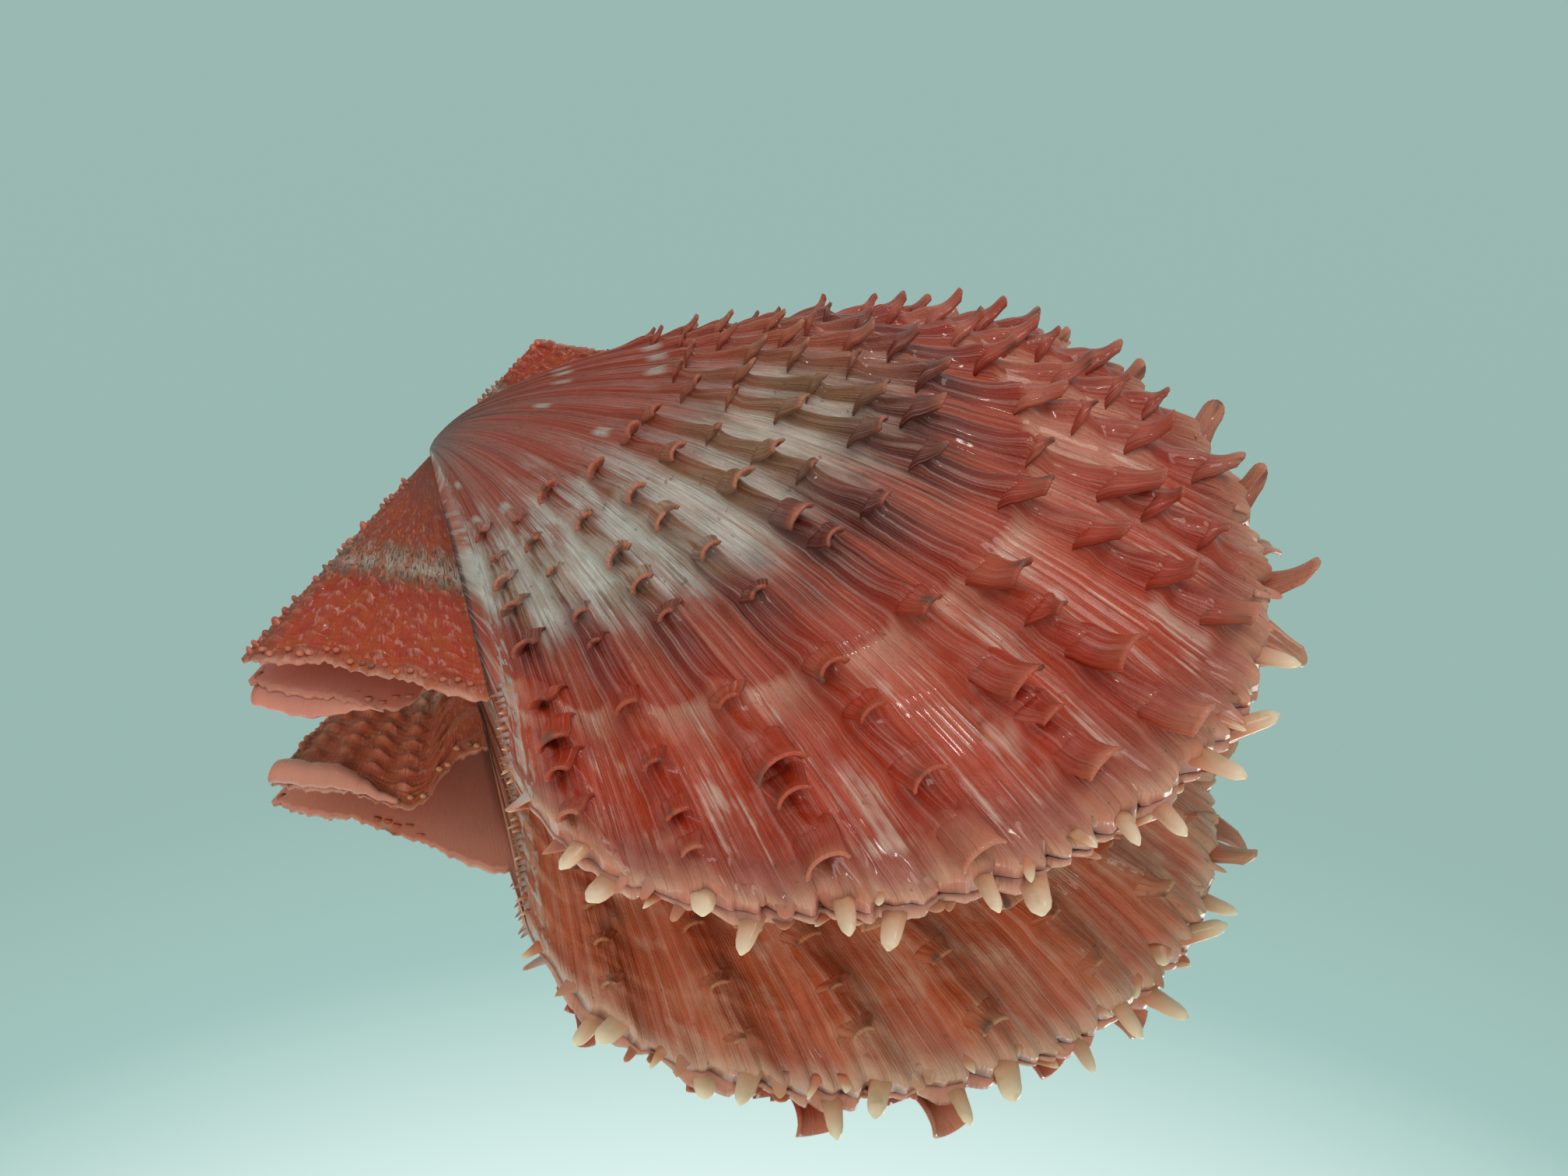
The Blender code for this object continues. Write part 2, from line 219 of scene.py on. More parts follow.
def disc_reach(angle):
    front = angle < 0
    inside = np.clip(angle, FRONT_SHOULDER, BACK_SHOULDER)
    turn = inside / np.where(front, FRONT_SHOULDER, BACK_SHOULDER)
    slow = np.where(front, FRONT_LOSS[0], BACK_LOSS[0])
    quick = np.where(front, FRONT_LOSS[1], BACK_LOSS[1])
    power = np.where(front, FRONT_LOSS[2], BACK_LOSS[2])
    return np.cos(np.radians(angle)) * (1.0 - slow * turn - quick * turn ** power)


def ear_reach(side, angle):
    points = (LEFT_FRONT_EAR if side == LEFT else RIGHT_FRONT_EAR) + BACK_EAR
    return np.interp(angle, [a for a, _ in points], [r for _, r in points])


def hump(share, rise, fall):
    top = rise / (rise + fall)
    return share ** rise * (1.0 - share) ** fall / (top ** rise * (1.0 - top) ** fall)


def fullness(bulge, angle):
    shoulder = np.where(angle < 0, FRONT_SHOULDER, BACK_SHOULDER)
    power = np.where(angle < 0, bulge.front, bulge.back)
    return np.clip(1.0 - (angle / shoulder) ** 2, 0.0, 1.0) ** power


def crest(side, angle):
    """1 on the middle of a main rib, 0 between the ribs."""
    value = np.zeros_like(angle)
    for rib, _ in ribs_of(side):
        away = np.clip(np.abs(angle - rib) / RIB_FOOT, 0.0, 1.0)
        value = np.maximum(value, np.cos(away * math.pi / 2) ** 1.6)
    return value


def thread(angle):
    """1 on the fine riblets, 0 in the grooves between them."""
    wander = 0.8 * np.sin(angle * 0.9) + 0.6 * np.sin(angle * 2.3 + 1.0)
    slow = 0.75 + 0.25 * np.sin(angle * 1.7 + 2.0)
    return 0.5 + 0.5 * slow * np.cos(2 * math.pi * angle / THREAD_PITCH + wander)


def scale_sites(side):
    """Angle, share of growth and size of each scale."""
    stages = LEFT_STAGES if side == LEFT else RIGHT_STAGES
    for number, (rib, size) in enumerate(ribs_of(side)):
        for row, stage in enumerate(stages):
            share = stage + STAGE_WANDER * math.sin(2.4 * number + 1.7 * row)
            yield rib, share, size * min(1.0, 0.25 + 0.9 * share)


def slope_and_drop(away, slope, drop):
    """1 at the place itself, with a long slope before it and a short drop behind."""
    return np.exp(-((away / np.where(away < 0, slope, drop)) ** 2))


def ramp_relief(side, angle, share):
    """The rib swells up to each scale and drops behind it."""
    relief = np.zeros_like(angle)
    for rib, place, grown in scale_sites(side):
        across = np.clip(np.abs(angle - rib) / (RIB_FOOT * 0.95), 0.0, 1.0)
        along = slope_and_drop(share - place, 0.03, 0.008)
        relief += RAMP_RELIEF * grown * along * np.cos(across * math.pi / 2) ** 2
    return relief


def terrace_relief(angle, share):
    """Low steps where growth paused."""
    relief = np.zeros_like(angle)
    for place, rise in TERRACES:
        line = place + 0.006 * np.sin(angle / 7.0) + 0.004 * np.sin(angle / 2.3 + place * 9.0)
        relief += rise * slope_and_drop(share - line, 0.035, 0.003)
    return relief


def crumple(angle, share):
    """The thin margin is pleated and waves up and down."""
    near = smoothstep(MARGIN_START, 1.0, share)
    pleat = np.abs(np.sin(angle * 0.81 + 0.4)) + 0.5 * np.abs(np.sin(angle * 1.57 + 1.0 + 9.0 * share))
    wave = np.sin(angle * 0.53 + 0.7 + 12.0 * share) + 0.4 * np.sin(angle * 2.3 + 2.0)
    return 0.004 * near * pleat + 0.002 * near * wave


def ragged(angle):
    """How far each lobe of the margin stands out or in, as a share of the reach."""
    large = 0.013 * np.abs(np.sin(angle * 0.97 + 0.4)) ** 0.7
    small = 0.009 * np.abs(np.sin(angle * 1.93 + 1.0)) ** 0.6
    return large + small + 0.003 * np.sin(angle * 4.3 + 1.0) - 0.008


def base_height(side, angle, share):
    """Height of the disc without relief, in metres."""
    bulge = LEFT_BULGE if side == LEFT else RIGHT_BULGE
    swell = bulge.depth * fullness(bulge, angle) * hump(share, bulge.rise, bulge.fall)
    edge = bulge.edge * 2.0 * share ** EDGE_RISE * (1.0 - share) ** EDGE_FALL
    foot = HINGE_LEVEL * (1.0 - share) + (RIM_GAP / 2 + MARGIN_WALL) * share
    return foot + DISC_HEIGHT * (swell + edge)


def disc_relief(side, angle, share):
    ribs = RIB_RELIEF * share ** 0.8 * crest(side, angle) + ramp_relief(side, angle, share)
    if side == RIGHT:
        ribs = RIGHT_RIB_SHARE * ribs
    fine = THREAD_RELIEF * share ** 0.7 * thread(angle) * (1.0 - 0.7 * smoothstep(0.93, 1.0, share))
    return ribs + fine + terrace_relief(angle, share) + crumple(angle, share)


def beads(angle, share):
    """1 on each of the small beads that run out along the ears in rows."""
    value = np.zeros_like(angle)
    for number, row in enumerate(BEAD_ROWS):
        across = np.exp(-(((angle - row) / BEAD_ROW_WIDTH) ** 2))
        along = np.clip(np.cos(2 * math.pi * (share / BEAD_PITCH + number * 0.37)), 0.0, 1.0) ** 1.3
        value += across * (0.25 + 0.75 * along) * smoothstep(0.2, 0.5, share)
    return value


def ear_height(side, angle, share):
    shoulder = np.where(angle < 0, -FRONT_SHOULDER, BACK_SHOULDER)
    turn = (np.abs(angle) - shoulder) / (HINGE_ANGLE - shoulder)
    if side == LEFT:
        rise = LEFT_EAR_ARCH * np.sin(math.pi * np.clip(turn, 0, 1)) * share
    else:
        rise = RIGHT_EAR_DROP * (1.0 - turn ** 2) * share
    rise = rise - 0.006 * smoothstep(0.8, 1.0, share) * smoothstep(0.6, 0.95, turn) * (side == RIGHT)
    return HINGE_LEVEL + DISC_HEIGHT * rise


def ear_relief(side, angle, share):
    free = 1.0 - 0.9 * smoothstep(0.93, 1.0, share)
    lamellae = 0.0011 * np.cos(2 * math.pi * share / 0.021 + 0.5 * np.sin(angle * 0.4))
    wave = 0.004 * np.sin(angle * 0.21) * share
    relief = BEAD_RELIEF * beads(angle, share) + lamellae * smoothstep(0.1, 0.4, share)
    if side == RIGHT:
        notch = smoothstep(-62.0, -56.0, angle) * (angle < 0)
        arcs = 0.005 * np.abs(np.sin(math.pi * (share / 0.15 + (angle + 48.0) / 40.0)))
        relief = relief * (1.0 - notch) + arcs * notch * smoothstep(0.2, 0.5, share)
    return relief * free + wave


def surface_points(side, angle, share, relief=1.0):
    """Points of the outer face, in metres, in the shell's own axes."""
    disc = on_disc(angle)
    height = np.where(
        disc,
        base_height(side, angle, share) + relief * DISC_HEIGHT * disc_relief(side, angle, share),
        ear_height(side, angle, share) + relief * DISC_HEIGHT * ear_relief(side, angle, share),
    )
    bend = np.where(disc, 1.0 - RIB_BEND * (1.0 - share), 1.0)
    reach = np.where(disc, disc_reach(angle), ear_reach(side, angle))
    along = DISC_HEIGHT * reach * share * (1.0 + ragged(angle) * smoothstep(0.955, 1.0, share))
    points = along[..., None] * heading(angle * bend)
    points[..., 2] = side * height
    return points


def surface_point(side, angle, share, relief=1.0):
    return surface_points(side, np.array([angle]), np.array([share]), relief)[0]


def resting_matrix():
    """From the shell's own axes to its resting place, found from the ligament, whose middle is known."""
    turn = Euler((math.radians(REST_TILT_X), -math.radians(REST_TILT_Y), 0.0)).to_matrix()
    low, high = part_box("hinge_ligament")
    middle = (Vector(low) + Vector(high)) / 2
    own = Vector((LIGAMENT_WIDTH / 2, DISC_HEIGHT * (LIGAMENT_BACK - LIGAMENT_FRONT) / 2, 0.0))
    return Matrix.Translation(middle - turn @ own) @ turn.to_4x4()


POSE = resting_matrix()
POSE_TURN = np.array(POSE.to_3x3())
POSE_MOVE = np.array(POSE.translation)


def placed(points):
    return points @ POSE_TURN.T + POSE_MOVE


def new_object(name, data):
    obj = bpy.data.objects.new(name, data)
    bpy.context.scene.collection.objects.link(obj)
    return obj


class Mesh:
    """Gathers points, faces and named values for one object."""

    def __init__(self):
        self.points = []
        self.faces = []
        self.slots = []
        self.values = {}
        self.count = 0

    def add(self, points, faces, slot=0, **values):
        points = kept_above_rest(points.reshape(-1, 3))
        self.points.append(points)
        self.faces += [tuple(int(index) + self.count for index in face) for face in faces]
        self.slots += [slot] * len(faces)
        for name in VALUE_NAMES:
            value = np.broadcast_to(np.ravel(values.get(name, 0.0)), len(points))
            self.values.setdefault(name, []).append(value.astype(float))
        self.count += len(points)

    def build(self, name, materials):
        mesh = bpy.data.meshes.new(name)
        mesh.from_pydata(placed(np.vstack(self.points)).tolist(), [], self.faces)
        for key, parts in self.values.items():
            layer = mesh.attributes.new(key, "FLOAT", "POINT")
            layer.data.foreach_set("value", np.concatenate(parts))
        for material in materials:
            mesh.materials.append(material)
        mesh.polygons.foreach_set("material_index", self.slots)
        turned = bmesh.new()
        turned.from_mesh(mesh)
        bmesh.ops.recalc_face_normals(turned, faces=turned.faces)
        turned.to_mesh(mesh)
        turned.free()
        mesh.shade_smooth()
        mesh.update()
        return new_object(name, mesh)


def grid_faces(columns, rows):
    """Quads of a grid whose points run column by column."""
    column, row = np.meshgrid(np.arange(columns - 1), np.arange(rows - 1), indexing="ij")
    corner = (column * rows + row).ravel()
    return np.stack([corner, corner + 1, corner + rows + 1, corner + rows], axis=-1).tolist()


def valve_columns():
    front_ear = np.linspace(-HINGE_ANGLE, FRONT_SHOULDER - SEAM_WIDTH, 56)
    disc = np.linspace(FRONT_SHOULDER, BACK_SHOULDER, 393)
    back_ear = np.linspace(BACK_SHOULDER + SEAM_WIDTH, HINGE_ANGLE, 42)
    return np.concatenate([front_ear, disc, back_ear])


def valve_shell(side):
    """The valve itself: the outer face, a thin lip, and a smooth inner face, closed along the hinge."""
    angles = valve_columns()
    outer = np.concatenate([np.linspace(0.004, 0.9, 108), np.linspace(0.905, 1.0, 22)])
    inner = np.array([1.0, 0.985, 0.95, 0.88, 0.75, 0.6, 0.45, 0.3, 0.15, 0.004])
    angle, share = np.meshgrid(angles, np.concatenate([outer, inner]), indexing="ij")
    inside = np.zeros_like(share)
    inside[:, len(outer):] = 1.0
    points = surface_points(side, angle, share, 1.0 - inside)
    disc_wall = MARGIN_WALL + (WALL - MARGIN_WALL) * (1.0 - smoothstep(0.7, 1.0, share))
    ear_wall = EAR_WALL * (0.8 - 0.5 * smoothstep(0.8, 1.0, share))
    wall = np.where(on_disc(angle), disc_wall, ear_wall)
    points[..., 2] -= side * wall * inside
    points[..., 2] = side * np.maximum(side * points[..., 2], RIM_GAP / 2)
    rows = share.shape[1]
    last = (len(angles) - 1) * rows
    faces = grid_faces(len(angles), rows) + [range(rows)[::-1], range(last, last + rows)]
    for column in range(len(angles) - 1):
        start = column * rows
        faces.append((start + rows - 1, start, start + rows, start + 2 * rows - 1))
    disc = on_disc(angle)
    mesh = Mesh()
    mesh.add(
        points, facing(faces, side == RIGHT), growth=share, turn=angle / 10.0,
        crest=np.where(disc, crest(side, angle), beads(angle, share)), thread=thread(angle),
        ear=np.where(disc, 0.0, 1.0), inside=inside,
    )
    return mesh


def frame_at(side, angle, share):
    """Outward, rimward and sideways directions of the plain surface at one place."""
    step = 0.01
    here = surface_point(side, angle, share, 0.0)
    rimward = unit(here - surface_point(side, angle, share - step, 0.0))
    sideways = surface_point(side, angle + step, share, 0.0) - here
    outward = unit(np.cross(rimward, sideways) * side)
    return outward, rimward, np.cross(outward, rimward)


def rim_axes(angle):
    """Outward and sideways directions in the plane of the rim."""
    step = 0.5
    along = unit(surface_point(LEFT, angle + step, 1.0, 0.0) - surface_point(LEFT, angle - step, 1.0, 0.0))
    outward = unit(np.array([along[1], -along[0], 0.0]))
    return outward, np.array([-outward[1], outward[0], 0.0])


def axes_beside(along, other):
    """A finger's axes: along it, sideways at right angles to the other direction, and upward."""
    along = unit(along)
    sideways = unit(np.cross(along, other))
    return along, sideways, np.cross(sideways, along)


def facing(faces, flip):
    """The faces as tuples, turned over where the side of the shell asks for it."""
    faces = [tuple(face) for face in faces]
    return [face[::-1] for face in faces] if flip else faces


def kept_above_rest(points):
    """Worn tips: nothing reaches below the surface that the shell lies on, or far above the dome."""
    resting = placed(points)
    low = np.minimum(resting[:, 2], 0.0)
    high = ABOVE_CUT * np.maximum(resting[:, 2] - TALLEST_FREE, 0.0)
    return points - (low + high)[:, None] * POSE_TURN[2]


def way_gone(fine, slope, places):
    """How far a path with the given slopes has come at each place, counted from its zero."""
    line = np.cumsum(slope) * (fine[1] - fine[0])
    return np.interp(places, fine, line - np.interp(0.0, fine, line))


def add_hood(mesh, side, foot, axes, hood, growth, turn):
    """A hollow scale: the rib's own arch rears up, narrows and ends in an open hood that faces the rim."""
    outward, rimward, sideways = axes
    length, root_width, tip_width, root_height, tip_height = (DISC_HEIGHT * value for value in hood[:5])
    fine = np.linspace(SCOOP_ROOT, 1.0, 70)
    rear = (hood.tilt_high - hood.tilt_low) * smoothstep(-0.1, 0.75, fine)
    tilt = np.radians(hood.tilt_low + rear + hood.curl * smoothstep(0.6, 1.0, fine))

    u, v = np.meshgrid(
        np.linspace(-1.0, 1.0, SCOOP_COLUMNS), np.linspace(SCOOP_ROOT, 1.0, SCOOP_ROWS), indexing="ij",
    )
    v = np.where(v > 0, v * (1.0 - hood.point * np.abs(u) ** 1.8), v)
    free = np.clip(v, 0.0, 1.0)
    lean = np.interp(v, fine, tilt)[..., None]
    hollow = np.sin(lean) * rimward - np.cos(lean) * outward
    narrowing = smoothstep(-0.15, 0.6, v)
    across = root_width / 2 * (1.0 - narrowing) + tip_width / 2 * narrowing
    across = across * (1.0 + 0.14 * smoothstep(0.7, 1.0, v))
    height = root_height * (1.0 - narrowing) + tip_height * narrowing
    thick = SCOOP_WALL - (SCOOP_WALL - SCOOP_TIP_WALL) * free
    swing = np.radians(SCOOP_OPENING) * u
    sunk = (0.0002 + 0.8 * root_height) * np.clip(v / SCOOP_ROOT, 0.0, 1.0) ** 1.5
    centre = foot + steps(
        (length * way_gone(fine, np.cos(tilt), v), rimward),
        (length * way_gone(fine, np.sin(tilt), v) - sunk, outward),
        (hood.sway * length * free ** 2, sideways), (height, hollow),
    )
    outer, inner = (
        centre + steps((np.sin(swing) * (across - wall), sideways), (np.cos(swing) * (wall - height), hollow))
        for wall in (0.0, thick)
    )
    loop = np.concatenate([outer, inner[::-1]])
    columns, rows = loop.shape[:2]
    faces = grid_faces(columns, rows)
    for row in range(rows - 1):
        last = (columns - 1) * rows + row
        faces.append((last, last + 1, row + 1, row))
    for column in range(SCOOP_COLUMNS - 1):
        opposite = columns - 1 - column
        faces.append([index * rows + rows - 1 for index in (column, opposite, opposite - 1, column + 1)])
        faces.append([index * rows for index in (column, column + 1, opposite - 1, opposite)])
    u, v = (np.concatenate([grid, grid[::-1]]).ravel() for grid in (u, v))
    mesh.add(
        loop, facing(faces, side == LEFT), growth=growth + 0.6 * v * hood.length,
        turn=turn + 0.06 * u * RIB_FOOT, crest=1.0, thread=0.5, tip=np.clip(v, 0.0, 1.0),
    )


def add_finger(mesh, foot, axes, size, bend, growth, turn, slot=0, taper=0.35, ear=0.0):
    """A rounded finger-like spine. Its width, depth and length are shares of DISC_HEIGHT."""
    along, sideways, upward = axes
    width, depth, length = (DISC_HEIGHT * value for value in size)
    around = np.linspace(0.0, 2 * math.pi, FINGER_SIDES, endpoint=False)
    a, v = np.meshgrid(around, np.linspace(0.0, 1.0, FINGER_ROWS) ** 0.8, indexing="ij")
    end = np.sqrt(np.clip(1.0 - (np.clip(v - 0.8, 0.0, 0.2) / 0.205) ** 2, 0.0, 1.0))
    girth = (1.0 - taper * v) * end
    points = foot + steps(
        (length * v, along), (width / 2 * girth * np.cos(a), sideways),
        (bend * length * v ** 2 + depth / 2 * girth * np.sin(a), upward),
    )
    faces = []
    for column in range(FINGER_SIDES):
        for row in range(FINGER_ROWS - 1):
            near = column * FINGER_ROWS + row
            far = (column + 1) % FINGER_SIDES * FINGER_ROWS + row
            faces.append((near, far, far + 1, near + 1))
    root = range(0, FINGER_SIDES * FINGER_ROWS, FINGER_ROWS)
    faces += [root[::-1], [index + FINGER_ROWS - 1 for index in root]]
    mirrored = np.dot(np.cross(sideways, upward), along) < 0
    mesh.add(
        points, facing(faces, mirrored), slot, growth=growth, turn=turn, tip=v.ravel(), ear=ear, thread=0.5,
    )


def add_scales(mesh, side, rng):
    """Hollow scales on the ribs, most of them bold and some small. The front half has bolder ones."""
    for rib, share, grown in scale_sites(side):
        late = float(smoothstep(0.62, 0.8, share))
        back = float(smoothstep(-15.0, 12.0, rib))
        bold = rng.uniform() < BOLD_CHANCE - 0.2 * back
        size = grown * rng.uniform(*(BOLD_SIZES if bold else SMALL_SIZES))
        size *= 0.8 if side == RIGHT else 1.0 + 0.25 * (1.0 - back)
        rib_width = 2.0 * float(disc_reach(np.array(rib))) * share * math.radians(RIB_FOOT)
        hood = Hood(
            length=size * (0.036 + (0.005 + 0.004 * back) * late),
            root_width=min(0.72 * rib_width, 0.05 * grown),
            tip_width=size * (rng.uniform(0.034, 0.046) - 0.01 * back),
            root_height=0.018 * grown,
            tip_height=size * (0.016 - 0.004 * back),
            tilt_low=rng.uniform(8, 18),
            tilt_high=rng.uniform(44, 66) - 2.0 * back,
            curl=rng.uniform(-24, 14),
            point=rng.uniform(0.02, 0.2) + 0.16 * back,
            sway=rng.uniform(-0.12, 0.12),
        )
        foot = surface_point(side, rib, share)
        add_hood(mesh, side, foot, frame_at(side, rib, share), hood, share, rib / 10.0)


def add_rim_spines(mesh, side, rng):
    """Ivory fingers along the front half of the rim, coral scoops along the back half."""
    upward = side * UP
    for number, (rib, size) in enumerate(ribs_of(side)):
        outward, sideways = rim_axes(rib)
        edge = surface_point(side, rib, 1.0, 0.0)
        if rib < FINGERED_UNTIL:
            foot = edge - outward * DISC_HEIGHT * RIM_SPINE_ROOT
            foot[2] = side * RIM_SPINE_HEIGHT
            width = RIM_SPINE_WIDTH * rng.uniform(0.85, 1.2)
            length = RIM_SPINE_ROOT + RIM_SPINE_LENGTH * size * (0.7 + 0.3 * math.sin(3.1 * number))
            add_finger(
                mesh, foot, (outward, sideways, upward), (width, RIM_SPINE_DEPTH, length),
                rng.uniform(-0.04, 0.06), 1.0, rib / 10.0, 1, taper=rng.uniform(0.25, 0.6),
            )
        else:
            foot = edge - outward * DISC_HEIGHT * 0.012 + upward * 0.0005
            hood = Hood(
                length=RIM_SPINE_LENGTH * size * rng.uniform(0.85, 1.05),
                root_width=0.044 * size,
                tip_width=RIM_SPINE_WIDTH * rng.uniform(0.8, 1.1),
                root_height=0.012,
                tip_height=0.01,
                tilt_low=10,
                tilt_high=rng.uniform(24, 42),
                curl=rng.uniform(-10, 14),
                point=rng.uniform(0.2, 0.5),
                sway=rng.uniform(-0.1, 0.1),
            )
            axes = (upward, outward, np.cross(upward, outward))
            add_hood(mesh, side, foot, axes, hood, 0.97, rib / 10.0)


def add_margin_teeth(mesh, side, rng):
    """Small pointed teeth along the rim between the main spines."""
    upward = side * UP
    for angle in np.arange(*MARGIN_TEETH):
        if min(abs(angle - rib) for rib, _ in ribs_of(side)) < CLEAR_OF_RIBS:
            continue
        angle = angle + rng.uniform(-0.5, 0.5)
        outward, sideways = rim_axes(angle)
        droop = rng.uniform(0.15, 0.45)
        along = outward * math.cos(droop) - upward * math.sin(droop)
        foot = surface_point(side, angle, 0.985) - upward * 0.0003
        size = (rng.uniform(0.014, 0.032), 0.007, rng.uniform(0.016, 0.036))
        add_finger(
            mesh, foot, (along, sideways, np.cross(along, sideways)), size, rng.uniform(-0.1, 0.1), 0.99,
            angle / 10.0, int(rng.uniform() < 0.4), taper=rng.uniform(0.5, 0.9),
        )


def add_front_teeth(mesh, side, rng):
    """A comb of tiny pointed teeth along the disc's front margin, below the large ear."""
    axes = axes_beside(heading(FRONT_TEETH_HEADING) + 0.35 * side * UP, UP)
    for share in np.arange(*(RIGHT_FRONT_TEETH if side == RIGHT else LEFT_FRONT_TEETH)):
        foot = surface_point(side, FRONT_SHOULDER, share) - axes[0] * 0.0002
        size = (0.009, 0.006, rng.uniform(0.01, 0.02))
        add_finger(
            mesh, foot, axes, size, rng.uniform(0.0, 0.3), 0.97, FRONT_SHOULDER / 10.0,
            int(rng.uniform() < 0.5), taper=0.85,
        )


def add_ear_points(mesh, side, rng):
    """Tiny points along the free edge of the ears and along the hinge."""
    for angle in np.concatenate([np.arange(*FRONT_EAR_POINTS), np.arange(*BACK_EAR_POINTS)]):
        angle = angle + rng.uniform(-0.6, 0.6)
        share = rng.uniform(0.955, 0.985)
        out = heading(angle)
        axes = axes_beside(0.85 * side * UP + 0.5 * out, out)
        foot = surface_point(side, angle, share) - axes[0] * 0.0002
        size = (0.01, 0.008, rng.uniform(0.006, 0.012))
        add_finger(mesh, foot, axes, size, 0.1, share, angle / 10.0, ear=1.0)
    for angle, count in HINGE_POINTS:
        for share in np.linspace(0.12, 0.97, count):
            axes = axes_beside(np.array([-0.7, rng.uniform(-0.3, 0.3), 0.7 * side]), UP)
            foot = surface_point(side, angle, share) - axes[0] * 0.0003
            size = (rng.uniform(0.009, 0.018), 0.009, rng.uniform(0.004, 0.013))
            taper = rng.uniform(0.4, 0.8)
            add_finger(mesh, foot, axes, size, 0.1, share, angle / 10.0, taper=taper, ear=1.0)


def add_ear_roll(mesh, side):
    """The free edge of the right valve's large ear rolls outwards near the hinge."""
    angles = np.linspace(ROLL_FROM, ROLL_TO, 20)
    swing = np.linspace(0.0, math.radians(ROLL_TURN), 16)
    angle, bend = np.meshgrid(angles, swing, indexing="ij")
    down = side * UP
    radius = DISC_HEIGHT * ROLL_RADIUS * (1.0 - smoothstep(-80.0, ROLL_TO, angle) * 0.75)
    middle = surface_points(side, angle, np.full_like(angle, 0.985)) + steps((radius, down))
    skins = []
    for inset in (0.0, ROLL_WALL):
        size = (radius - inset) * (1.0 - 0.25 * bend / swing[-1])
        skins.append(middle + steps((size * np.sin(bend), heading(angle)), (-size * np.cos(bend), down)))
    loop = np.concatenate([skins[0], skins[1][:, ::-1]], axis=1)
    columns, rows = loop.shape[:2]
    faces = facing(grid_faces(columns, rows), True)
    for column in range(columns - 1):
        start, after = column * rows, (column + 1) * rows
        faces.append((start + rows - 1, start, after, after + rows - 1))
    half = rows // 2
    for column in (0, columns - 1):
        for row in range(half - 1):
            quad = [column * rows + index for index in (row, row + 1, rows - 2 - row, rows - 1 - row)]
            faces += facing([quad], column > 0)
    rolled = np.concatenate([np.linspace(0.94, 0.998, half), np.linspace(0.998, 0.94, half)])
    mesh.add(
        loop, faces, growth=np.tile(rolled, columns), turn=np.repeat(angles / 10.0, rows),
        inside=1.0, ear=1.0,
    )


# Colours by stage of growth, from the beak to the rim, as linear values.
LEFT_BETWEEN = (
    (0.0, (0.26, 0.13, 0.12)), (0.06, (0.33, 0.14, 0.12)), (0.14, (0.47, 0.14, 0.1)),
    (0.24, (0.5, 0.12, 0.085)), (0.33, (0.52, 0.16, 0.12)), (0.4, (0.56, 0.28, 0.23)),
    (0.45, (0.7, 0.58, 0.5)), (0.53, (0.66, 0.53, 0.45)), (0.585, (0.56, 0.34, 0.27)),
    (0.63, (0.42, 0.1, 0.07)), (0.68, (0.48, 0.09, 0.055)), (0.738, (0.48, 0.075, 0.045)),
    (0.748, (0.66, 0.28, 0.22)), (0.79, (0.6, 0.13, 0.085)), (0.83, (0.56, 0.085, 0.045)),
    (0.88, (0.56, 0.075, 0.036)), (0.93, (0.48, 0.07, 0.038)), (0.96, (0.38, 0.08, 0.055)),
    (0.985, (0.48, 0.18, 0.145)), (1.0, (0.64, 0.38, 0.31)),
)
LEFT_ON_RIBS = (
    (0.0, (0.24, 0.11, 0.1)), (0.08, (0.34, 0.11, 0.085)), (0.16, (0.46, 0.075, 0.045)),
    (0.3, (0.44, 0.06, 0.03)), (0.4, (0.38, 0.085, 0.04)), (0.47, (0.33, 0.13, 0.055)),
    (0.54, (0.28, 0.115, 0.05)), (0.6, (0.22, 0.045, 0.03)), (0.66, (0.22, 0.028, 0.02)),
    (0.738, (0.38, 0.034, 0.014)), (0.755, (0.46, 0.075, 0.036)), (0.81, (0.46, 0.052, 0.022)),
    (0.86, (0.42, 0.036, 0.012)), (0.93, (0.42, 0.038, 0.014)), (0.965, (0.38, 0.065, 0.04)),
    (1.0, (0.54, 0.25, 0.19)),
)
LEFT_TIPS = (
    (0.3, (0.5, 0.1, 0.06)), (0.5, (0.56, 0.19, 0.11)), (0.64, (0.46, 0.12, 0.075)),
    (0.78, (0.44, 0.085, 0.045)), (0.92, (0.5, 0.1, 0.055)), (1.0, (0.58, 0.2, 0.12)),
)
RIGHT_BETWEEN = (
    (0.0, (0.3, 0.12, 0.09)), (0.12, (0.44, 0.12, 0.07)), (0.3, (0.5, 0.13, 0.07)),
    (0.5, (0.5, 0.13, 0.07)), (0.62, (0.48, 0.09, 0.035)), (0.75, (0.54, 0.12, 0.055)),
    (0.9, (0.54, 0.1, 0.04)), (0.975, (0.52, 0.12, 0.065)), (1.0, (0.62, 0.35, 0.26)),
)
RIGHT_ON_RIBS = (
    (0.0, (0.26, 0.11, 0.08)), (0.14, (0.4, 0.08, 0.04)), (0.35, (0.4, 0.075, 0.03)),
    (0.6, (0.38, 0.06, 0.022)), (0.8, (0.46, 0.075, 0.024)), (0.93, (0.46, 0.08, 0.026)),
    (0.978, (0.5, 0.13, 0.065)), (1.0, (0.6, 0.33, 0.23)),
)
RIGHT_TIPS = ((0.3, (0.5, 0.14, 0.05)), (0.8, (0.54, 0.17, 0.07)), (1.0, (0.58, 0.28, 0.16)))
